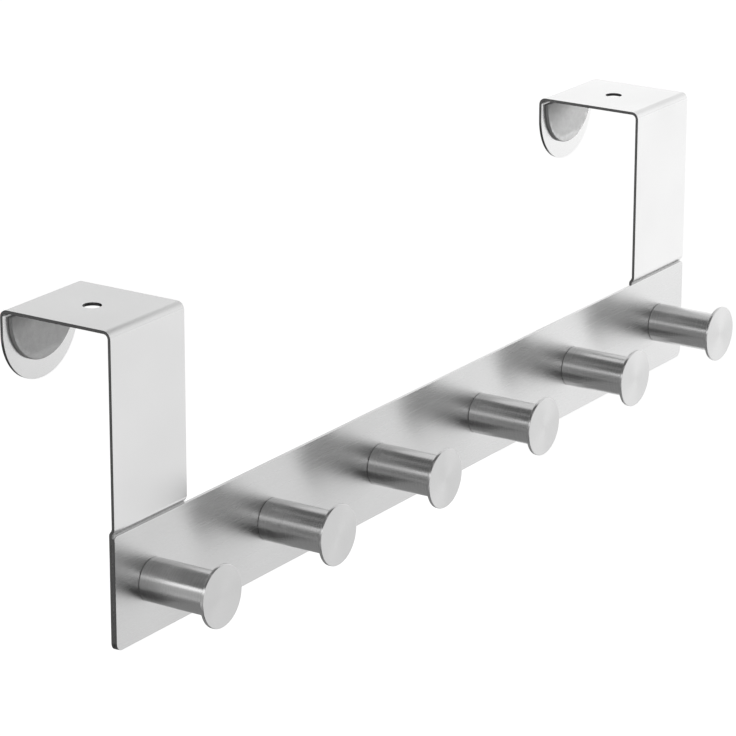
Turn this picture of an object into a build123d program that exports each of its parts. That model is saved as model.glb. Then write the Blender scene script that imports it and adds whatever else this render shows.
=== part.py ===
from build123d import *
import os
from math import atan, tan

# Over door hook: a rail with turned pegs, carried by two straps folded over the top edge of a door.
# Frame: X along the rail, Y from the front of the door to its back, Z up.
# Origin: on the door's top edge, halfway between the two straps, in the middle of the door's thickness.
# All sizes in millimetres.

# Rail
rail_length = 400.0
rail_height = 42.5
rail_sheet = 1.2
rail_bottom_edge = 114.8      # from the door's top edge down to the rail's lower edge
rail_lower_corner = 3.2       # radius of the rail's two lower corners
rail_upper_corner = 1.5       # radius of the rail's two upper corners

# Straps
strap_width = 42.0
strap_sheet = 1.2
door_gap = 45.0               # between the strap's front leg and its tongue
bend_inside = 1.8             # inside radius of the two bends over the door
step_length = 5.0             # height over which the front leg steps back behind the rail
step_radius = 8.0             # radius of the two gentle bends of that step, on the strap's inner face
step_above_rail = 0.3         # from the rail's upper edge up to the start of the step
leg_corner = 3.0              # radius of the lower corners of the front leg
tongue_drop = 28.8            # from the door's top edge down to the tongue's round end
tongue_flat = 0.4             # short flat left at the lowest point of the round end
screw_hole = 6.8              # diameter of the hole in the top plate

# Pads on the tongues
pad_width = 36.0
pad_height = 19.2
pad_thickness = 1.5
pad_below_bend = 0.6          # from the end of the bend down to the pad's straight edge
pad_flat = 0.4                # short flat left at the lowest point of the pad's round end

# Pegs
peg_count = 6
peg_above_rail_edge = 20.5    # from the rail's lower edge up to the peg's axis
peg_reach = 30.0              # from the rail's front face to the front of the head
peg_shaft = 16.0
peg_head = 23.0
peg_head_thickness = 1.2
peg_head_rim = 0.3            # bevel round the front of the head
peg_hole_depth = 13.0

# Screws that hold the pegs from behind
screw_thread = 4.0
screw_head = 6.4
screw_length = 11.0           # over all, from the face of the head to the tip
screw_clearance = 0.05        # around the thread and under the head
cross_width = 1.0
cross_length = 3.6
cross_depth = 1.0

# Places that follow from the sizes above
front_face = -door_gap / 2 - strap_sheet
rail_back = front_face + rail_sheet
leg_back = rail_back + strap_sheet
tongue_face = door_gap / 2
rail_bottom = -rail_bottom_edge
rail_top = rail_bottom + rail_height
peg_height = rail_bottom + peg_above_rail_edge
strap_centre = (rail_length - strap_width) / 2
peg_pitch = 2 * strap_centre / (peg_count - 1)
peg_places = [-strap_centre + number * peg_pitch for number in range(peg_count)]


def turned(outline, x, y):
    """A solid turned about a line along Y, from (distance along Y, radius) points that start on the axis."""
    line = Polyline(*[(x + radius, y + along) for along, radius in outline], close=True)
    axis = Axis((x, y, 0), (0, 1, 0))
    return Pos(0, 0, peg_height) * revolve(make_face(line), axis)


def screw_body(x, face, length, clearance=0.0):
    """A countersunk screw whose head lies flush with a face or, with a clearance, the room that it needs."""
    head = screw_head / 2 + clearance
    thread = screw_thread / 2 + clearance
    outline = [
        (0, 0),
        (0, head),
        (thread - head, thread),
        (-length, thread),
        (-length, 0),
    ]
    return turned(outline, x, face)


def head_face(number):
    """The face that a screw's head lies flush with: behind a strap at the ends, behind the rail between."""
    at_strap = number in (0, peg_count - 1)
    return leg_back if at_strap else rail_back


def seats_of_screws():
    seats = []
    for number, x in enumerate(peg_places):
        depth = head_face(number) - front_face + peg_hole_depth
        seats.append(screw_body(x, head_face(number), depth, screw_clearance))
    return seats


def make_rail(seats):
    plate = Box(rail_length, rail_sheet, rail_height, align=(Align.CENTER, Align.MIN, Align.MIN))
    plate = Pos(0, front_face, rail_bottom) * plate
    corners = plate.edges().filter_by(Axis.Y).sort_by(Axis.Z)
    plate = fillet(corners[:2], rail_lower_corner)
    corners = plate.edges().filter_by(Axis.Y).sort_by(Axis.Z)
    plate = fillet(corners[-2:], rail_upper_corner)
    return plate - seats


def strap_path():
    """The strap's inner face, towards the door, as a line in the YZ plane from the leg's foot to the tongue."""
    lean = atan(rail_sheet / step_length)
    step_foot = rail_top + step_above_rail + step_radius * tan(lean / 2)
    points = [
        (leg_back, rail_bottom),
        (leg_back, step_foot),
        (-tongue_face, step_foot + step_length),
        (-tongue_face, 0),
        (tongue_face, 0),
        (tongue_face, -tongue_drop),
    ]
    return FilletPolyline(*points, radius=[step_radius, step_radius, bend_inside, bend_inside])


def make_strap(x, seats):
    sheet = make_face(offset(strap_path(), amount=strap_sheet, side=Side.LEFT))
    strap = Pos(x, 0, 0) * extrude(Plane.YZ * sheet, strap_width / 2, both=True)

    corners = strap.edges().filter_by(Axis.Y)
    leg_corners = corners.filter_by_position(Axis.Z, rail_bottom - 0.01, rail_bottom + 0.01)
    strap = fillet(leg_corners, leg_corner)
    corners = strap.edges().filter_by(Axis.Y)
    tongue_corners = corners.filter_by_position(Axis.Z, -tongue_drop - 0.01, -tongue_drop + 0.01)
    strap = fillet(tongue_corners, (strap_width - tongue_flat) / 2)

    hole = Pos(x, 0, strap_sheet / 2) * Cylinder(screw_hole / 2, 3 * strap_sheet)
    return strap - hole - seats


def make_pad(x):
    top = -bend_inside - pad_below_bend
    pad = Box(pad_width, pad_thickness, pad_height, align=(Align.CENTER, Align.MAX, Align.MAX))
    pad = Pos(x, tongue_face, top) * pad
    corners = pad.edges().filter_by(Axis.Y).sort_by(Axis.Z)
    return fillet(corners[:2], (pad_width - pad_flat) / 2)


def make_peg(x, seats):
    head_back = peg_head_thickness - peg_reach
    outline = [
        (0, 0),
        (0, peg_shaft / 2),
        (head_back, peg_shaft / 2),
        (head_back, peg_head / 2),
        (peg_head_rim - peg_reach, peg_head / 2),
        (-peg_reach, peg_head / 2 - peg_head_rim),
        (-peg_reach, 0),
    ]
    return turned(outline, x, front_face) - seats


def make_screw(x, face):
    screw = screw_body(x, face, screw_length)
    slot = Box(cross_length, 2 * cross_depth, cross_width)
    cross = slot + Rot(0, 90, 0) * slot
    return screw - Pos(x, face, peg_height) * cross


def make_all():
    seats = seats_of_screws()
    pieces = {"rail": make_rail(seats)}
    for side, x in (("left", -strap_centre), ("right", strap_centre)):
        pieces["strap_" + side] = make_strap(x, seats)
        pieces["tongue_pad_" + side] = make_pad(x)
    for number, x in enumerate(peg_places):
        pieces["peg_" + str(number + 1)] = make_peg(x, [seats[number]])
        pieces["peg_screw_" + str(number + 1)] = make_screw(x, head_face(number))
    return pieces


os.makedirs("parts", exist_ok=True)
for name, piece in make_all().items():
    export_step(piece, "parts/" + name + ".step")
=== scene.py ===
# Over door hook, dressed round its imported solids: brushed rail, folded straps, foam pads and
# turned pegs. Lengths are in metres, in the solids' own frame: X along the rail, Y from the
# door's front to its back, Z up.
from math import atan2, cos, hypot, pi, radians, sin, tan

import bmesh
import bpy
from bpy.props import FloatProperty, FloatVectorProperty, IntProperty, PointerProperty
from bpy.types import Operator, Panel, PropertyGroup
from mathutils import Matrix, Vector


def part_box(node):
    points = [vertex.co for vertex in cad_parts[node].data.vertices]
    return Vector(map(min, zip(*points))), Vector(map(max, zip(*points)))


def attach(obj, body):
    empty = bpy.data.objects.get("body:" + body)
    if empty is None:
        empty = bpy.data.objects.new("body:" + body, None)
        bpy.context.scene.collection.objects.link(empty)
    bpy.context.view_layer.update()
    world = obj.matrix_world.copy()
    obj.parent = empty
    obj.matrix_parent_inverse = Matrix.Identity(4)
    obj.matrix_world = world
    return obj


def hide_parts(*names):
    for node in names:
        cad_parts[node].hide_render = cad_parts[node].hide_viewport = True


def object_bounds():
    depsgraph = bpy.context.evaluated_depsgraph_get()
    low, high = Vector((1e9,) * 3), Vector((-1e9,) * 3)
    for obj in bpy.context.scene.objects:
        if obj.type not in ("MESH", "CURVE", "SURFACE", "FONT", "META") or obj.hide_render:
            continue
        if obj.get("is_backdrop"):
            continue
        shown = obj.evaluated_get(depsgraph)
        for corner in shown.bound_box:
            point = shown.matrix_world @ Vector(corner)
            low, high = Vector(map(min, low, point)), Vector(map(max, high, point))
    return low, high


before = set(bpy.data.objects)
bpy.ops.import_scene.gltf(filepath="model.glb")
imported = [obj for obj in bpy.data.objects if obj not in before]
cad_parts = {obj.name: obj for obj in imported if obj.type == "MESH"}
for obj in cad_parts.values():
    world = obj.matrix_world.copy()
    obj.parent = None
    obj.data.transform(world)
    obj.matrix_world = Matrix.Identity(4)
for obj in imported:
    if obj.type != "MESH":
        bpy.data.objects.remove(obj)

bl_info = {
    "name": "Over Door Hook",
    "version": (1, 0, 0),
    "blender": (4, 5, 0),
    "location": "3D View > Sidebar > Over Door Hook",
    "description": (
        "Models and finishes an over door hook round its packed solids, and sets its studio"
    ),
    "category": "Add Mesh",
}

MM = 0.001

# The pegs are numbered from the left, and each end peg stands on the strap of its side.
PEG_COUNT = sum(name.startswith("peg_") and name[4:].isdigit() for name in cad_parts)
PEGS = range(1, PEG_COUNT + 1)
END_PEGS = {"left": 1, "right": PEG_COUNT}

# Modelling
SLACK = 0.01 * MM             # places nearer than this count as the same
UPRIGHT = (pi / 2, 0, 0)      # turn that makes a plane face the front
CUTTER_BEYOND = 0.2 * MM      # how far a screw's cutter stands out of the face that it cuts
CUTTER_LENGTH = 6 * MM        # more than the rail and a strap are thick together
HOLE_SIDES = 64
SHARP = radians(50)           # edges sharper than this are rounded
SMOOTH = radians(44)          # faces that meet at less than this are shaded as one
SMOOTH_TURNED = radians(50)   # the same on a peg
FLAT_WEIGHT = 80              # how far the large faces lead the shading of their edges
CROWN_FIELD = 1.5 * MM        # side of the fields that a pad's front is divided into
CROWN_LINES = 11              # dividing lines on each side of its middle, and below its top
CROWN_SLOPE = 3.0             # the crown is full a third of the pad's radius in from its rim

# Materials
GRAIN_MAP = "grain"
RAIL_GRAIN = 0.4              # how much of the grain shows on the rail
STRAP_GRAIN = 0.12            # and on the straps
QUARTER_TURN = 0.25
STEEL_ROUGHNESS = 0.26
RUBBED_SMOOTHER = 0.08        # how much less rough a rubbed edge is
MIX_FIRST, MIX_SECOND, MIX_RESULT = 6, 7, 2  # the colour sockets of a Mix node

# Studio
FLOOR_WIDTH = 30
WHITE = (1, 1, 1, 1)
BLACK = (0, 0, 0, 1)
LAMP_AIM = Vector((0, 0, -0.09))
# Each lamp's place, and its sizes along Y and across.
LAMPS = {
    "softbox": ((1.0, 0.0, -0.05), (1.4, 0.95)),
    "strip": ((-0.80, 0.10, 0.22), (2.4, 0.16)),
    "fill": ((0.75, -0.30, 0.10), (0.5, 0.3)),
}
# The planes that the cards lie in or end at, then two opposite corners of each card and the
# setting that holds its brightness.
LEFT, FRONT, BACK, OVER, UNDER = -0.85, -1.20, 1.40, 0.34, -0.50
CARDS = {
    "card_over": ((-0.79, 0.13, OVER), (0.16, BACK, OVER), "card_over"),
    "card_over_left": ((-0.79, -0.16, OVER), (-0.28, 0.13, OVER), "card_over"),
    "card_over_right": ((-0.15, -0.16, OVER), (0.16, 0.13, OVER), "card_over"),
    "card_over_middle": ((-0.28, -0.16, OVER), (-0.15, -0.01, OVER), "card_over"),
    "card_over_front": ((-0.79, -0.45, OVER), (0.16, -0.16, OVER), "card_over_front"),
    "card_left": ((LEFT, FRONT, UNDER), (LEFT, 0.55, 0.11), "card_left"),
    "card_left_back": ((LEFT, 0.55, -0.30), (LEFT, BACK, 0.11), "card_left"),
    "card_under": ((LEFT, -0.06, UNDER), (0.34, BACK, UNDER), "card_under"),
    "card_under_front": ((-0.16, FRONT, UNDER), (0.10, -0.10, UNDER), "card_under"),
    "card_front": ((-0.80, FRONT, UNDER), (-0.16, -0.10, UNDER), "card_front"),
}
# The camera, fitted to the edges of the hook in the photograph. Its angles are in radians.
CAMERA_PLACE = (-1.14699, -0.75299, 0.37967)
CAMERA_YAW = 0.9869           # from +Y towards +X
CAMERA_DOWN = 0.3169          # below the level
CAMERA_ROLL = 0.0013
CAMERA_LENS = 182.57          # in millimetres, as the sensor's width is
CAMERA_SENSOR = 36


# Settings


def length(name, description, default):
    return FloatProperty(
        name=name,
        description=description,
        default=default,
        min=0.0,
        precision=5,
        unit="LENGTH",
    )


def tone(name, description, default):
    return FloatVectorProperty(
        name=name,
        description=description,
        default=default,
        min=0.0,
        max=1.0,
        size=3,
        subtype="COLOR",
    )


def share(name, description, default):
    return FloatProperty(
        name=name,
        description=description,
        default=default,
        min=0.0,
        max=1.0,
        subtype="FACTOR",
    )


def light_level(name, description, default, unit="NONE"):
    return FloatProperty(
        name=name, description=description, default=default, min=0.0, unit=unit
    )


class RailSettings(PropertyGroup):
    lower_corner: length("Lower corner", "Radius of the rail's two lower corners", 3.2 * MM)
    upper_corner: length("Upper corner", "Radius of the rail's two upper corners", 1.5 * MM)
    edge_round: length("Edge round", "Softness of the cut edges all round the sheet", 0.16 * MM)


class StrapSettings(PropertyGroup):
    bend_inside: length("Bend inside", "Inside radius of the two bends over the door", 1.8 * MM)
    step_length: length(
        "Step length", "Height over which the front leg steps back behind the rail", 1.5 * MM
    )
    step_radius: length("Step radius", "Radius of the two bends of the step", 1.6 * MM)
    step_above_rail: length(
        "Step above rail", "From the rail's upper edge up to the step", 0.15 * MM
    )
    leg_corner: length("Leg corner", "Radius of the lower corners of the front leg", 3.0 * MM)
    tongue_flat: length(
        "Tongue flat", "Flat left at the lowest point of the tongue's round end", 0.4 * MM
    )
    plate_hole: length("Plate hole", "Diameter of the hole in the top plate", 6.8 * MM)
    edge_round: length("Edge round", "Softness of the cut edges all round the sheet", 0.14 * MM)


class PadSettings(PropertyGroup):
    flat: length("Flat", "Flat left at the lowest point of the pad's round end", 0.4 * MM)
    rim_round: length("Rim round", "Softness of the rim that the foam is cut along", 0.45 * MM)
    crown: length("Crown", "How far the middle of the pad stands proud of its rim", 0.12 * MM)


class PegSettings(PropertyGroup):
    shaft: length("Shaft", "Diameter of the shaft", 16.0 * MM)
    head_thickness: length("Head thickness", "Thickness of the flat head", 1.2 * MM)
    front_rim: length("Front rim", "Bevel round the front of the head", 0.3 * MM)
    back_rim: length("Back rim", "Softness of the back edge of the head", 0.12 * MM)
    root_weld: length("Root weld", "Small hollow where the shaft meets the head", 0.25 * MM)
    foot_break: length("Foot break", "Bevel round the shaft's foot, against the rail", 0.4 * MM)
    screw_hole: length("Screw hole", "Diameter of the hole for the screw", 4.06 * MM)
    screw_head: length("Screw head", "Diameter of the screw's seat at its face", 6.5 * MM)
    hole_depth: length("Hole depth", "How deep the screw's hole goes into the peg", 13.0 * MM)
    sides: IntProperty(name="Sides", description="Faces round a peg", default=144, min=24, max=512)


class FinishSettings(PropertyGroup):
    rail: tone("Rail", "Colour of the rail's brushed steel", (0.58, 0.58, 0.58))
    strap: tone("Strap", "Colour of the straps' brushed steel", (0.70, 0.70, 0.70))
    peg: tone("Peg", "Colour of the pegs' turned steel", (0.58, 0.58, 0.58))
    # The cut edges are darker than sheared steel is: their colour holds painted shade for the dark
    # surroundings that they mirror.
    shaded_cut_edge: tone("Cut edge", "Colour of the sheets' sheared edges", (0.125, 0.125, 0.125))
    # The holes' walls are near black: painted shade.
    shaded_hole_wall: tone("Hole wall", "Colour of the walls of the straps' holes", (0.06, 0.06, 0.06))
    screw: tone("Screw", "Colour of the screws' plain steel", (0.50, 0.50, 0.51))
    foam: tone("Foam", "Colour of the pads' closed foam", (0.34, 0.34, 0.34))
    grain: share("Grain", "How strongly the brushing shows", 0.5)


class StageSettings(PropertyGroup):
    floor_drop: length("Floor drop", "From the hook's lowest edge down to the floor", 0.40)
    floor: tone("Floor", "Colour of the floor", (0.70, 0.70, 0.70))
    daylight: light_level("Daylight", "Strength of the even light", 0.35)
    softbox: light_level("Softbox", "Power of the large lamp", 1.45, "POWER")
    strip: light_level("Strip", "Power of the narrow lamp", 0.9, "POWER")
    fill: light_level("Fill", "Power of the small lamp that lights the pads", 2.4, "POWER")
    floor_lift: light_level("Floor lift", "How much the floor glows", 0.76)
    card_over: share("Card over", "Brightness of the card over the hook", 0.15)
    card_over_front: share("Card over front", "Brightness of that card's front strip", 0.24)
    card_left: share("Card left", "Brightness of the card at its left", 0.56)
    card_under: share("Card under", "Brightness of the card under it", 0.32)
    card_front: share("Card front", "Brightness of the card in front of that one", 0.04)


# Modelling by hand


def select_only(obj):
    bpy.ops.object.select_all(action="DESELECT")
    obj.select_set(True)
    bpy.context.view_layer.objects.active = obj


def fresh(name):
    """Names the primitive that was just added, puts its place in its mesh and selects it alone."""
    obj = bpy.context.view_layer.objects.active
    obj.name = name
    obj.data.name = name
    select_only(obj)
    bpy.ops.object.transform_apply(location=True, rotation=True, scale=True)
    return obj


def add_sheet(name, place, width, height, turn=UPRIGHT):
    """A plane with its middle at a place, which faces the front unless another turn is given."""
    bpy.ops.mesh.primitive_plane_add(size=1, location=place, rotation=turn)
    bpy.context.view_layer.objects.active.scale = (width, height, 1)
    return fresh(name)


def open_mesh(obj):
    """Starts editing the mesh with nothing selected."""
    select_only(obj)
    bpy.ops.object.mode_set(mode="EDIT")
    bpy.ops.mesh.select_mode(type="FACE")
    bpy.ops.mesh.select_all(action="DESELECT")


def close_mesh():
    bpy.ops.object.mode_set(mode="OBJECT")


def pick(obj, mode, wanted):
    """Selects each VERT, EDGE or FACE for which wanted(element) is true, and nothing else."""
    bpy.ops.mesh.select_mode(type=mode)
    bpy.ops.mesh.select_all(action="DESELECT")
    mesh = bmesh.from_edit_mesh(obj.data)
    elements = {"VERT": mesh.verts, "EDGE": mesh.edges, "FACE": mesh.faces}[mode]
    found = [element for element in elements if wanted(element)]
    for element in found:
        element.select_set(True)
    bmesh.update_edit_mesh(obj.data)
    if not found:
        raise RuntimeError(f"nothing to shape on {obj.name}")


def near(value, target):
    return abs(value - target) < SLACK


def at_height(z):
    return lambda vertex: near(vertex.co.z, z)


def middle(element):
    """The middle of an edge or a face."""
    points = [vertex.co for vertex in element.verts]
    return sum(points, Vector()) / len(points)


def extrude(shift):
    bpy.ops.mesh.extrude_region_move(TRANSFORM_OT_translate={"value": shift})


def scale_about(centre, factors):
    bpy.ops.transform.resize(value=factors, center_override=centre)


def round_off(obj, mode, wanted, radius, segments):
    """Rounds each VERT (a corner of a sheet) or EDGE for which wanted(element) is true."""
    pick(obj, mode, wanted)
    affect = {"VERT": "VERTICES", "EDGE": "EDGES"}[mode]
    bpy.ops.mesh.bevel(offset=radius, segments=segments, affect=affect, offset_type="OFFSET")


def face_outwards():
    """Turns the faces of the mesh that is being edited outwards, and leaves them selected."""
    bpy.ops.mesh.select_all(action="SELECT")
    bpy.ops.mesh.normals_make_consistent(inside=False)


def apply_modifier(obj, kind, **values):
    select_only(obj)
    modifier = obj.modifiers.new(kind.lower(), kind)
    for key, value in values.items():
        setattr(modifier, key, value)
    bpy.ops.object.modifier_apply(modifier=modifier.name)


def give(obj, materials):
    """Adds material slots. A sheet's faces take the first, and its cut edges the second."""
    for material in materials:
        obj.data.materials.append(material)


def cut(obj, cutter):
    """Cuts a cutter's shape out of a piece, in its last material, and clears the cutter away."""
    give(cutter, obj.data.materials)
    for face in cutter.data.polygons:
        face.material_index = len(obj.data.materials) - 1
    apply_modifier(obj, "BOOLEAN", operation="DIFFERENCE", solver="EXACT", object=cutter)
    bpy.data.objects.remove(cutter)


def shade_smooth(obj, below):
    """Shades faces that meet at less than an angle as one surface."""
    select_only(obj)
    bpy.ops.object.shade_smooth_by_angle(angle=below)


def keep_flats(obj, mode):
    """Lets the large faces lead the shading, so that they look flat up to their rounded edges."""
    apply_modifier(obj, "WEIGHTED_NORMAL", mode=mode, weight=FLAT_WEIGHT, keep_sharp=True)


def soften(obj, width, segments=3):
    """Rounds the sharp edges a little, then shades the rounds and the flats as they are."""
    apply_modifier(
        obj,
        "BEVEL",
        width=width,
        segments=segments,
        limit_method="ANGLE",
        angle_limit=SHARP,
        use_clamp_overlap=True,
        miter_outer="MITER_ARC",
    )
    shade_smooth(obj, SMOOTH)
    keep_flats(obj, "FACE_AREA_WITH_ANGLE")


def lay_grain_map(obj):
    """A box-projected map of a sheet, whose first direction is X on its front, back and top."""
    open_mesh(obj)
    bpy.ops.mesh.select_all(action="SELECT")
    while obj.data.uv_layers:
        obj.data.uv_layers.remove(obj.data.uv_layers[0])
    obj.data.uv_layers.new(name=GRAIN_MAP)
    bpy.ops.uv.cube_project(cube_size=1.0)
    close_mesh()


def finish_piece(obj, slot, *nodes):
    """Hangs a finished piece under the root body and hides the solids that it stands in for."""
    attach(obj, "root")
    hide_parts(*nodes)


def peg_centre(number):
    low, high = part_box(f"peg_{number}")
    return (low + high) / 2


def screw_seat(number, peg):
    """The room for a peg's countersunk screw, whose head lies flush with the face behind it."""
    centre = peg_centre(number)
    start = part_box(f"peg_screw_{number}")[1].y + CUTTER_BEYOND
    head = peg.screw_head / 2 + CUTTER_BEYOND
    thread = peg.screw_hole / 2
    cone = head - thread
    bpy.ops.mesh.primitive_circle_add(
        vertices=HOLE_SIDES,
        radius=head,
        fill_type="NGON",
        location=(centre.x, start, centre.z),
        rotation=UPRIGHT,
    )
    seat = fresh("screw_seat")
    open_mesh(seat)
    bpy.ops.mesh.select_all(action="SELECT")
    extrude((0, -cone, 0))
    scale_about((centre.x, start - cone, centre.z), (thread / head, 1, thread / head))
    extrude((0, -CUTTER_LENGTH, 0))
    face_outwards()
    close_mesh()
    return seat


# Materials


class Recipe:
    """A material's nodes, added one by one and joined as they are added."""

    def __init__(self, name):
        self.material = bpy.data.materials.new(name)
        self.material.use_nodes = True
        self.tree = self.material.node_tree
        self.tree.nodes.clear()
        output = self.add("ShaderNodeOutputMaterial")
        self.shader = self.add("ShaderNodeBsdfPrincipled")
        self.join(self.shader.outputs["BSDF"], output.inputs["Surface"])
        self.place = self.add("ShaderNodeTexCoord").outputs["Object"]

    def add(self, kind, inputs=None, **values):
        """A node with its values set, and with its inputs set or joined to other nodes."""
        node = self.tree.nodes.new(kind)
        for key, value in values.items():
            setattr(node, key, value)
        for key, value in (inputs or {}).items():
            if isinstance(value, bpy.types.NodeSocket):
                self.join(value, node.inputs[key])
            else:
                node.inputs[key].default_value = value
        return node

    def join(self, source, target):
        self.tree.links.new(source, target)

    def set(self, **values):
        """Plain values on the shader, by socket name with _ for a space."""
        for key, value in values.items():
            self.shader.inputs[key.replace("_", " ")].default_value = value

    def noise(self, place, detail, roughness):
        inputs = {"Vector": place, "Scale": 1.0, "Detail": detail, "Roughness": roughness}
        return self.add("ShaderNodeTexNoise", inputs).outputs["Fac"]

    def streaks(self, per_metre, detail=2.0, roughness=0.5):
        """Noise, 0 to 1, with so many spots to the metre along each axis."""
        stretched = self.add("ShaderNodeMapping", {"Vector": self.place, "Scale": per_metre})
        return self.noise(stretched.outputs["Vector"], detail, roughness)

    def mottle(self, per_metre, detail=2.0, roughness=0.5):
        """The same noise, alike along all axes."""
        return self.streaks((per_metre, per_metre, per_metre), detail, roughness)

    def ramp(self, value, low, high, from_low=0.3, from_high=0.7):
        """Takes a value from its range, which is that of most noise, to the range low to high."""
        inputs = {
            "Value": value,
            "From Min": from_low,
            "From Max": from_high,
            "To Min": low,
            "To Max": high,
        }
        return self.add("ShaderNodeMapRange", inputs).outputs["Result"]

    def math(self, operation, first, second, third=0.0):
        inputs = {0: first, 1: second, 2: third}
        return self.add("ShaderNodeMath", inputs, operation=operation).outputs["Value"]

    def tint(self, colour, factor):
        """The colour times a factor from nodes."""
        grey = self.add("ShaderNodeCombineColor", {"Red": factor, "Green": factor, "Blue": factor})
        mix = self.add(
            "ShaderNodeMix",
            {"Factor": 1.0, MIX_FIRST: (*colour, 1.0), MIX_SECOND: grey.outputs["Color"]},
            data_type="RGBA",
            blend_type="MULTIPLY",
            clamp_factor=False,
        )
        return mix.outputs[MIX_RESULT]

    def edge_closeness(self, radius):
        """1 where an edge is near, 0 on a flat."""
        rounded = self.add("ShaderNodeBevel", {"Radius": radius}, samples=6)
        flat = self.add("ShaderNodeNewGeometry")
        alike = self.add(
            "ShaderNodeVectorMath",
            {0: rounded.outputs["Normal"], 1: flat.outputs["Normal"]},
            operation="DOT_PRODUCT",
        )
        return self.ramp(alike.outputs["Value"], 1.0, 0.0, from_low=0.80, from_high=0.995)

    def worn_and_highlit_edges(self, shade, rough, radius, highlight_with_wear):
        """The shade and the roughness of steel whose edges are worn smoother and brightened; the
        brightening is a painted highlight, with some wear.
        """
        near_edge = self.edge_closeness(radius)
        # painted highlight: the edges are made brighter
        shade = self.math("ADD", shade, self.math("MULTIPLY", near_edge, highlight_with_wear))
        rough = self.math("SUBTRACT", rough, self.math("MULTIPLY", near_edge, RUBBED_SMOOTHER))
        return shade, rough

    def coat(self, colour, shade, rough):
        """Joins the colour times a shade, and a roughness, to the shader."""
        self.join(self.tint(colour, shade), self.shader.inputs["Base Color"])
        self.join(rough, self.shader.inputs["Roughness"])

    def stretch_highlights(self, amount, turn, **direction):
        """Steel's long highlights, and the tangent that they are measured from."""
        self.set(Metallic=1.0, Anisotropic=amount, Anisotropic_Rotation=turn)
        tangent = self.add("ShaderNodeTangent", **direction)
        self.join(tangent.outputs["Tangent"], self.shader.inputs["Tangent"])

    def bump(self, height, distance, strength):
        inputs = {"Height": height, "Distance": distance, "Strength": strength}
        node = self.add("ShaderNodeBump", inputs)
        self.join(node.outputs["Normal"], self.shader.inputs["Normal"])


def along_grain(axis, fine, long):
    """Spots to the metre for streaks along one axis, from their width and length in metres."""
    return tuple(1 / long if name == axis else 1 / fine for name in "XYZ")


def brushed_steel(name, colour, axis, grain, turn, anisotropy, rim_highlight_and_wear):
    """Sheet steel brushed along an axis: fine, middle and broad streaks, and edges worn smoother
    with a painted highlight along them.
    """
    recipe = Recipe(name)
    hair = recipe.streaks(along_grain(axis, 0.09 * MM, 14 * MM), detail=3.0, roughness=0.6)
    line = recipe.streaks(along_grain(axis, 0.45 * MM, 45 * MM))
    cloud = recipe.mottle(26)
    brushing = recipe.math("MULTIPLY_ADD", hair, 0.6, recipe.math("MULTIPLY", line, 0.4))

    shade = recipe.ramp(brushing, 1.0 - 0.16 * grain, 1.0 + 0.10 * grain)
    shade = recipe.math("MULTIPLY", shade, recipe.ramp(cloud, 0.97, 1.02))
    smoothest, roughest = STEEL_ROUGHNESS - 0.10 * grain, STEEL_ROUGHNESS + 0.14 * grain
    rough = recipe.ramp(brushing, smoothest, roughest)
    # The edges take a painted highlight, with a little wear.
    recipe.coat(colour, *recipe.worn_and_highlit_edges(shade, rough, 0.5 * MM, rim_highlight_and_wear))
    recipe.stretch_highlights(anisotropy, turn, direction_type="UV_MAP", uv_map=GRAIN_MAP)
    recipe.bump(brushing, 0.02 * MM, 0.25 * grain)
    return recipe.material


def turned_steel(name, colour, grain, centre):
    """Steel turned about a line along Y: fine rings on the flats and round the shaft."""
    recipe = Recipe(name)
    centred = recipe.add("ShaderNodeMapping", {"Vector": recipe.place, "Location": -centre})
    parts = recipe.add("ShaderNodeSeparateXYZ", {"Vector": centred.outputs["Vector"]}).outputs
    spoke = recipe.add("ShaderNodeCombineXYZ", {"X": parts["X"], "Z": parts["Z"]})
    radius = recipe.add(
        "ShaderNodeVectorMath", {0: spoke.outputs["Vector"]}, operation="LENGTH"
    )
    rings_per_metre = 1 / (0.10 * MM)
    ring_place = recipe.add(
        "ShaderNodeCombineXYZ",
        {
            "X": recipe.math("MULTIPLY", radius.outputs["Value"], rings_per_metre),
            "Y": recipe.math("MULTIPLY", parts["Y"], rings_per_metre),
        },
    )
    ring = recipe.noise(ring_place.outputs["Vector"], detail=3.0, roughness=0.6)
    cloud = recipe.mottle(60)

    shade = recipe.ramp(ring, 1.0 - 0.08 * grain, 1.0 + 0.05 * grain)
    shade = recipe.math("MULTIPLY", shade, recipe.ramp(cloud, 0.97, 1.02))
    rough = recipe.ramp(ring, STEEL_ROUGHNESS, STEEL_ROUGHNESS + 0.05)
    # The head's rims take a painted highlight.
    recipe.coat(colour, *recipe.worn_and_highlit_edges(shade, rough, 0.4 * MM, highlight_with_wear=0.25))
    recipe.stretch_highlights(0.7, QUARTER_TURN, direction_type="RADIAL", axis="Y")
    recipe.bump(ring, 0.01 * MM, 0.2 * grain)
    return recipe.material


def sheared_and_shaded_steel(name, colour):
    """The cut edge of a sheet, with the burr of the shear: much darker than its faces, partly as
    its own rougher steel and partly as painted shade.
    """
    recipe = Recipe(name)
    burr = recipe.mottle(2200, detail=3.0, roughness=0.6)
    drag = recipe.mottle(160)
    shade = recipe.math("MULTIPLY", recipe.ramp(burr, 0.86, 1.10), recipe.ramp(drag, 0.90, 1.08))
    recipe.coat(colour, shade, recipe.ramp(burr, 0.17, 0.27))
    recipe.set(Metallic=1.0)
    recipe.bump(burr, 0.02 * MM, 0.3)
    return recipe.material


def plain_steel(name, colour):
    """Steel of a screw as it comes from the press: mottled, a little scuffed."""
    recipe = Recipe(name)
    stain = recipe.mottle(700, detail=4.0, roughness=0.6)
    scuff = recipe.mottle(2600)
    shade = recipe.math("MULTIPLY", recipe.ramp(stain, 0.88, 1.08), recipe.ramp(scuff, 0.95, 1.04))
    recipe.coat(colour, shade, recipe.ramp(stain, 0.26, 0.42))
    recipe.set(Metallic=1.0)
    recipe.bump(scuff, 0.02 * MM, 0.3)
    return recipe.material


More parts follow.
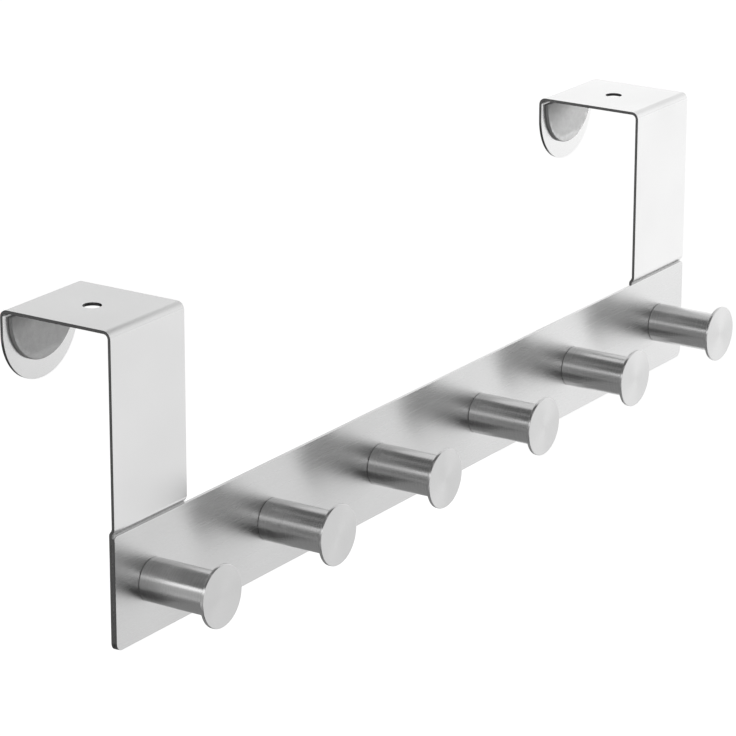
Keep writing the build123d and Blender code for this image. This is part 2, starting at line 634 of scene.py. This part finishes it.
def closed_foam(name, colour):
    """Smooth closed foam: tiny pores in a slightly uneven skin."""
    recipe = Recipe(name)
    cells = recipe.add(
        "ShaderNodeTexVoronoi",
        {"Vector": recipe.place, "Scale": 2600.0, "Randomness": 1.0},
        feature="F1",
    )
    pore = recipe.ramp(cells.outputs["Distance"], 0.0, 1.0, from_low=0.05, from_high=0.45)
    skin = recipe.mottle(420, detail=4.0, roughness=0.6)
    # the pores are darker: painted shade in them
    pore_shade = recipe.ramp(pore, 0.80, 1.03, from_low=0.0, from_high=1.0)
    shade = recipe.math("MULTIPLY", pore_shade, recipe.ramp(skin, 0.90, 1.08))
    recipe.coat(colour, shade, recipe.ramp(skin, 0.62, 0.80))
    recipe.set(Metallic=0.0, Sheen_Weight=0.15, Sheen_Roughness=0.5, Specular_IOR_Level=0.35)
    recipe.bump(recipe.math("ADD", pore, skin), 0.05 * MM, 0.5)
    return recipe.material


# Pieces


class HOOK_OT_rail(Operator):
    """Models the rail as a rounded sheet with seats for its screws, and brushes it"""

    bl_idname = "hook.rail"
    bl_label = "Rail"

    def execute(self, context):
        scene = context.scene
        rail, peg, finish = scene.hook_rail, scene.hook_peg, scene.hook_finish
        low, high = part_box("rail")
        size = high - low
        centre = (low + high) / 2
        obj = add_sheet("rail_piece", (centre.x, low.y, centre.z), size.x, size.z)
        brushed = brushed_steel(
            "rail_brushed",
            finish.rail,
            axis="X",
            grain=finish.grain * RAIL_GRAIN,
            turn=QUARTER_TURN,
            anisotropy=0.8,
            # a painted highlight along the rail's edges
            rim_highlight_and_wear=0.3,
        )
        give(obj, (brushed, sheared_and_shaded_steel("rail_cut_edge", finish.shaded_cut_edge)))

        open_mesh(obj)
        round_off(obj, "VERT", at_height(low.z), rail.lower_corner, segments=10)
        round_off(obj, "VERT", at_height(high.z), rail.upper_corner, segments=8)
        bpy.ops.mesh.select_all(action="SELECT")
        extrude((0, size.y, 0))
        face_outwards()
        # The other edges take the cut edge colour, which holds painted shade.
        # The upper edge keeps the brushed finish, because the photograph shows it bright.
        pick(obj, "FACE", lambda face: abs(face.normal.y) < 0.5 and face.normal.z < 0.5)
        obj.active_material_index = 1
        bpy.ops.object.material_slot_assign()
        close_mesh()

        for number in PEGS:
            cut(obj, screw_seat(number, peg))
        soften(obj, rail.edge_round)
        lay_grain_map(obj)
        finish_piece(obj, "rail_steel", "rail")
        return {"FINISHED"}


class HOOK_OT_straps(Operator):
    """Folds each strap from one sheet: front leg with its step, top plate and round tongue"""

    bl_idname = "hook.straps"
    bl_label = "Straps"

    def execute(self, context):
        scene = context.scene
        strap, peg, finish = scene.hook_strap, scene.hook_peg, scene.hook_finish
        brushed = brushed_steel(
            "strap_brushed",
            finish.strap,
            axis="Z",
            grain=finish.grain * STRAP_GRAIN,
            turn=0.0,
            anisotropy=0.5,
            rim_highlight_and_wear=0.05,
        )
        sheared_with_shade = sheared_and_shaded_steel("strap_cut_edge", finish.shaded_cut_edge)
        # The plate's holes take the near-black wall colour: painted shade.
        materials = (brushed, sheared_with_shade, sheared_and_shaded_steel("strap_hole_wall", finish.shaded_hole_wall))
        for side, number in END_PEGS.items():
            node = f"strap_{side}"
            obj = self.fold(node, strap, materials)
            low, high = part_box(node)
            bpy.ops.mesh.primitive_cylinder_add(
                vertices=HOLE_SIDES,
                radius=strap.plate_hole / 2,
                depth=CUTTER_LENGTH,
                location=((low.x + high.x) / 2, 0, high.z),
            )
            cut(obj, fresh("hole"))
            cut(obj, screw_seat(number, peg))
            soften(obj, strap.edge_round)
            lay_grain_map(obj)
            finish_piece(obj, "strap_steel", node)
        return {"FINISHED"}

    def fold(self, node, strap, materials):
        """The strap without its holes, built on its inner face and thickened outwards."""
        low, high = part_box(node)
        rail_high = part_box("rail")[1]
        centre_x = (low.x + high.x) / 2
        width = high.x - low.x
        sheet = high.z  # the top plate lies on the door's edge, at z = 0
        half_gap = high.y - sheet
        leg_back = rail_high.y + sheet
        lean = atan2(leg_back + half_gap, strap.step_length)
        bend = strap.step_radius * tan(lean / 2)
        step_foot = rail_high.z + strap.step_above_rail + bend
        tongue_end = self.tongue_end(node)
        path = [
            (leg_back, step_foot),
            (-half_gap, step_foot + strap.step_length),
            (-half_gap, 0),
            (half_gap, 0),
            (half_gap, tongue_end),
        ]

        foot = step_foot - low.z
        obj = add_sheet(f"{node}_piece", (centre_x, leg_back, low.z + foot / 2), width, foot)
        give(obj, materials)
        open_mesh(obj)

        def at_top(edge):
            place = middle(edge)
            return near(place.z, step_foot) and near(place.x, centre_x)

        def fold_at(corners):
            def test(edge):
                first, second = (vertex.co for vertex in edge.verts)
                place = middle(edge)
                across = near(first.z, second.z) and near(abs(first.x - second.x), width)
                return across and any(near(place.y, y) and near(place.z, z) for y, z in corners)

            return test

        def at_tongue(vertex):
            return near(vertex.co.z, tongue_end) and near(vertex.co.y, half_gap)

        pick(obj, "EDGE", at_top)
        for (y, z), (next_y, next_z) in zip(path, path[1:]):
            extrude((0, next_y - y, next_z - z))
        round_off(obj, "EDGE", fold_at(path[2:4]), strap.bend_inside, segments=16)
        round_off(obj, "EDGE", fold_at(path[:2]), bend, segments=5)
        round_off(obj, "VERT", at_tongue, (width - strap.tongue_flat) / 2, segments=32)
        round_off(obj, "VERT", at_height(low.z), strap.leg_corner, segments=8)
        close_mesh()

        apply_modifier(
            obj,
            "SOLIDIFY",
            thickness=sheet,
            offset=1.0,
            use_even_offset=True,
            use_quality_normals=True,
            # the rim takes the cut edge colour, which holds painted shade
            material_offset_rim=1,
        )
        open_mesh(obj)
        face_outwards()
        close_mesh()
        return obj

    def tongue_end(self, node):
        """The lowest point of the tongue, read from the solid's own mesh behind the door."""
        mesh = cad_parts[node].data
        return min(vertex.co.z for vertex in mesh.vertices if vertex.co.y > 0)


class HOOK_OT_pads(Operator):
    """Models the foam pad on each tongue: half round, with a soft rim and a slight crown"""

    bl_idname = "hook.pads"
    bl_label = "Pads"

    def execute(self, context):
        pad, finish = context.scene.hook_pad, context.scene.hook_finish
        material = closed_foam("pad_closed_foam", finish.foam)
        for side in END_PEGS:
            node = f"tongue_pad_{side}"
            low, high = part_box(node)
            size = high - low
            centre = (low + high) / 2
            obj = add_sheet(f"{node}_piece", (centre.x, high.y, centre.z), size.x, size.z)
            open_mesh(obj)
            round_off(obj, "VERT", at_height(low.z), (size.x - pad.flat) / 2, segments=28)
            bpy.ops.mesh.select_all(action="SELECT")
            extrude((0, pad.crown - size.y, 0))
            face_outwards()
            close_mesh()
            soften(obj, pad.rim_round, segments=4)
            self.crown(obj, node, pad.crown)
            give(obj, (material,))
            finish_piece(obj, "pad_foam", node)
        return {"FINISHED"}

    def crown(self, obj, node, rise):
        """Divides the front into small fields and swells it, full in the middle, 0 at the rim."""
        low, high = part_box(node)
        centre_x = (low.x + high.x) / 2
        radius = (high.x - low.x) / 2
        front = low.y + rise

        def on_front(face):
            return near(middle(face).y, front) and abs(face.normal.y) > 0.99

        sides = range(-CROWN_LINES, CROWN_LINES + 1)
        lines = [((centre_x + line * CROWN_FIELD, 0, 0), (1, 0, 0)) for line in sides]
        rows = range(1, CROWN_LINES + 1)
        lines += [((0, 0, high.z - line * CROWN_FIELD), (0, 0, 1)) for line in rows]
        open_mesh(obj)
        for place, direction in lines:
            pick(obj, "FACE", on_front)
            bpy.ops.mesh.bisect(plane_co=place, plane_no=direction)

        pick(obj, "VERT", lambda vertex: near(vertex.co.y, front))
        for vertex in bmesh.from_edit_mesh(obj.data).verts:
            if vertex.select:
                across = hypot(vertex.co.x - centre_x, vertex.co.z - high.z)
                inside = max(min(radius - across, high.z - vertex.co.z) / radius, 0.0)
                vertex.co.y -= rise * sin(min(1.0, CROWN_SLOPE * inside) * pi / 2)
        bmesh.update_edit_mesh(obj.data)
        close_mesh()
        shade_smooth(obj, SMOOTH)


class HOOK_OT_pegs(Operator):
    """Turns one peg with its thin flat head and its screw hole, and copies it along the rail"""

    bl_idname = "hook.pegs"
    bl_label = "Pegs"

    def execute(self, context):
        peg, finish = context.scene.hook_peg, context.scene.hook_finish
        first = self.turn(peg)
        start = peg_centre(1)
        for number in PEGS:
            centre = peg_centre(number)
            obj = first
            if number > 1:
                obj = first.copy()
                obj.data = first.data.copy()
                bpy.context.collection.objects.link(obj)
                obj.data.transform(Matrix.Translation(centre - start))
            obj.name = f"peg_{number}_piece"
            material = turned_steel(f"peg_turned_{number}", finish.peg, finish.grain, centre)
            obj.data.materials.clear()
            give(obj, (material,))
            finish_piece(obj, "peg_steel", f"peg_{number}")
        return {"FINISHED"}

    def turn(self, peg):
        """The first peg: a round shaft with a head drawn out of one end and a hole in the other."""
        low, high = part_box("peg_1")
        centre = (low + high) / 2
        head_radius = (high.x - low.x) / 2
        shaft_radius = peg.shaft / 2
        head_back = low.y + peg.head_thickness
        depth = high.y - head_back
        bpy.ops.mesh.primitive_cylinder_add(
            vertices=peg.sides,
            radius=shaft_radius,
            depth=depth,
            location=(centre.x, high.y - depth / 2, centre.z),
            rotation=UPRIGHT,
        )
        obj = fresh("peg_1_piece")

        def cap_at(y):
            return lambda face: near(middle(face).y, y) and abs(face.normal.y) > 0.9

        def ring(y, radius):
            def on_ring(vertex):
                span = hypot(vertex.co.x - centre.x, vertex.co.z - centre.z)
                return near(vertex.co.y, y) and near(span, radius)

            return lambda edge: all(on_ring(vertex) for vertex in edge.verts)

        open_mesh(obj)
        pick(obj, "FACE", cap_at(head_back))
        grow = head_radius / shaft_radius
        bpy.ops.mesh.extrude_region_move()
        scale_about((centre.x, head_back, centre.z), (grow, 1, grow))
        extrude((0, -peg.head_thickness, 0))
        pick(obj, "FACE", cap_at(high.y))
        bpy.ops.mesh.inset(thickness=shaft_radius - peg.screw_hole / 2, depth=0)
        extrude((0, -peg.hole_depth, 0))
        for y, radius, width, segments in (
            (low.y, head_radius, peg.front_rim, 3),
            (head_back, head_radius, peg.back_rim, 2),
            (head_back, shaft_radius, peg.root_weld, 3),
            (high.y, shaft_radius, peg.foot_break, 2),
        ):
            round_off(obj, "EDGE", ring(y, radius), width, segments)
        face_outwards()
        close_mesh()
        shade_smooth(obj, SMOOTH_TURNED)
        keep_flats(obj, "FACE_AREA")
        return obj


class HOOK_OT_screws(Operator):
    """Gives the screws behind the rail their plain steel"""

    bl_idname = "hook.screws"
    bl_label = "Screws"

    def execute(self, context):
        material = plain_steel("screw_plain", context.scene.hook_finish.screw)
        for number in PEGS:
            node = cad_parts[f"peg_screw_{number}"]
            for slot in node.material_slots:
                slot.material = material
        return {"FINISHED"}


# Studio


def seen_directly(tree):
    """1 for what is seen by the camera, in the steel or through glass, 0 for what only lights."""
    path = tree.nodes.new("ShaderNodeLightPath")
    seen = path.outputs["Is Camera Ray"]
    for ray in ("Is Glossy Ray", "Is Transmission Ray"):
        either = tree.nodes.new("ShaderNodeMath")
        either.operation = "MAXIMUM"
        tree.links.new(seen, either.inputs[0])
        tree.links.new(path.outputs[ray], either.inputs[1])
        seen = either.outputs["Value"]
    return seen


def new_material(name):
    """A plain material and its shader."""
    material = bpy.data.materials.new(name)
    material.use_nodes = True
    return material, material.node_tree.nodes["Principled BSDF"]


class HOOK_OT_stage(Operator):
    """Lays the pale floor, hangs the soft lamps and sets the camera at the photograph's angle"""

    bl_idname = "hook.stage"
    bl_label = "Stage"

    def execute(self, context):
        stage = context.scene.hook_stage
        self.lay_floor(stage)
        self.light(stage)
        self.stand_cards(stage)
        self.set_camera()
        context.scene.view_settings.view_transform = "Standard"
        return {"FINISHED"}

    def lay_floor(self, stage):
        """A pale floor that glows towards the camera, so that it is as white as the backdrop."""
        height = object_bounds()[0].z - stage.floor_drop
        bpy.ops.mesh.primitive_plane_add(size=FLOOR_WIDTH, location=(0, 0, height))
        floor = fresh("floor")
        material, shader = new_material("pale_floor")
        tree = material.node_tree
        shader.inputs["Base Color"].default_value = (*stage.floor, 1)
        shader.inputs["Roughness"].default_value = 0.9
        shader.inputs["Emission Color"].default_value = WHITE
        lift = tree.nodes.new("ShaderNodeMath")
        lift.operation = "MULTIPLY"
        lift.inputs[1].default_value = stage.floor_lift
        tree.links.new(seen_directly(tree), lift.inputs[0])
        tree.links.new(lift.outputs["Value"], shader.inputs["Emission Strength"])
        floor.data.materials.append(material)
        floor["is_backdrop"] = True

    def light(self, stage):
        """Even light from a world that looks white, and three soft lamps."""
        world = bpy.data.worlds.new("studio")
        bpy.context.scene.world = world
        world.use_nodes = True
        world.cycles.sampling_method = "NONE"
        tree = world.node_tree
        background = tree.nodes["Background"]
        background.inputs["Color"].default_value = WHITE
        glow = tree.nodes.new("ShaderNodeMapRange")
        glow.inputs["To Min"].default_value = stage.daylight
        glow.inputs["To Max"].default_value = 1.0
        tree.links.new(seen_directly(tree), glow.inputs["Value"])
        tree.links.new(glow.outputs["Result"], background.inputs["Strength"])
        lamps = {name: self.hang(name, getattr(stage, name)) for name in LAMPS}
        lamps["fill"].data.spread = radians(60)
        lamps["fill"].visible_glossy = False

    def hang(self, name, power):
        """An area lamp that faces the hook and that the camera doesn't see."""
        place, size = LAMPS[name]
        data = bpy.data.lights.new(name, "AREA")
        data.shape = "RECTANGLE"
        data.size, data.size_y = size
        data.energy = power
        lamp = bpy.data.objects.new(name, data)
        bpy.context.collection.objects.link(lamp)
        ahead = (LAMP_AIM - Vector(place)).normalized()
        up = ahead.cross(Vector((0, 1, 0))).normalized()
        along = up.cross(ahead)
        turn = Matrix((along, up, -ahead)).transposed().to_4x4()
        lamp.matrix_world = Matrix.Translation(place) @ turn
        lamp.visible_camera = False
        return lamp

    def stand_cards(self, stage):
        """Grey cards round the hook that only the steel mirrors: over it, left of it and under it.

        The window between those over it keeps the left strap's plate light, seen from above.
        """
        for name, (low, high, setting) in CARDS.items():
            low, high = Vector(low), Vector(high)
            size = high - low
            upright = near(size.x, 0)
            turn = (0, pi / 2, 0) if upright else (0, 0, 0)
            width = size.z if upright else size.x
            card = add_sheet(name, (low + high) / 2, width, size.y, turn)
            material, shader = new_material(name)
            shader.inputs["Base Color"].default_value = BLACK
            shader.inputs["Specular IOR Level"].default_value = 0
            shader.inputs["Emission Color"].default_value = WHITE
            shader.inputs["Emission Strength"].default_value = getattr(stage, setting)
            material.cycles.emission_sampling = "NONE"
            card.data.materials.append(material)
            card.visible_camera = False
            card.visible_diffuse = False
            card.visible_shadow = False
            card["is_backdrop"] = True

    def set_camera(self):
        """The camera at the photograph's place and angle."""
        level = cos(CAMERA_DOWN)
        ahead = Vector((sin(CAMERA_YAW) * level, cos(CAMERA_YAW) * level, -sin(CAMERA_DOWN)))
        right = Vector((cos(CAMERA_YAW), -sin(CAMERA_YAW), 0))
        up = right.cross(ahead)
        rolled_right = cos(CAMERA_ROLL) * right + sin(CAMERA_ROLL) * up
        rolled_up = cos(CAMERA_ROLL) * up - sin(CAMERA_ROLL) * right
        data = bpy.data.cameras.new("camera")
        data.lens = CAMERA_LENS
        data.sensor_width = CAMERA_SENSOR
        data.clip_start = 0.05
        data.clip_end = 60
        camera = bpy.data.objects.new("camera", data)
        bpy.context.collection.objects.link(camera)
        turn = Matrix((rolled_right, rolled_up, -ahead)).transposed().to_4x4()
        camera.matrix_world = Matrix.Translation(CAMERA_PLACE) @ turn
        bpy.context.scene.camera = camera


# Add-on


GROUPS = {
    "hook_rail": RailSettings,
    "hook_strap": StrapSettings,
    "hook_pad": PadSettings,
    "hook_peg": PegSettings,
    "hook_finish": FinishSettings,
    "hook_stage": StageSettings,
}
STEPS = (
    HOOK_OT_rail,
    HOOK_OT_straps,
    HOOK_OT_pads,
    HOOK_OT_pegs,
    HOOK_OT_screws,
    HOOK_OT_stage,
)


class HOOK_PT_panel(Panel):
    bl_label = "Over Door Hook"
    bl_idname = "HOOK_PT_panel"
    bl_space_type = "VIEW_3D"
    bl_region_type = "UI"
    bl_category = "Over Door Hook"

    def draw(self, context):
        for name, group in GROUPS.items():
            box = self.layout.box()
            for setting in group.__annotations__:
                box.prop(getattr(context.scene, name), setting)
        for step in STEPS:
            self.layout.operator(step.bl_idname)


CLASSES = (*GROUPS.values(), *STEPS, HOOK_PT_panel)


def register():
    for kind in CLASSES:
        bpy.utils.register_class(kind)
    for name, group in GROUPS.items():
        setattr(bpy.types.Scene, name, PointerProperty(type=group))


def unregister():
    for name in GROUPS:
        delattr(bpy.types.Scene, name)
    for kind in reversed(CLASSES):
        bpy.utils.unregister_class(kind)


def main():
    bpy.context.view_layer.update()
    register()
    bpy.ops.hook.rail()
    bpy.ops.hook.straps()
    bpy.ops.hook.pads()
    bpy.ops.hook.pegs()
    bpy.ops.hook.screws()
    bpy.ops.hook.stage()


if __name__ == "__main__":
    main()
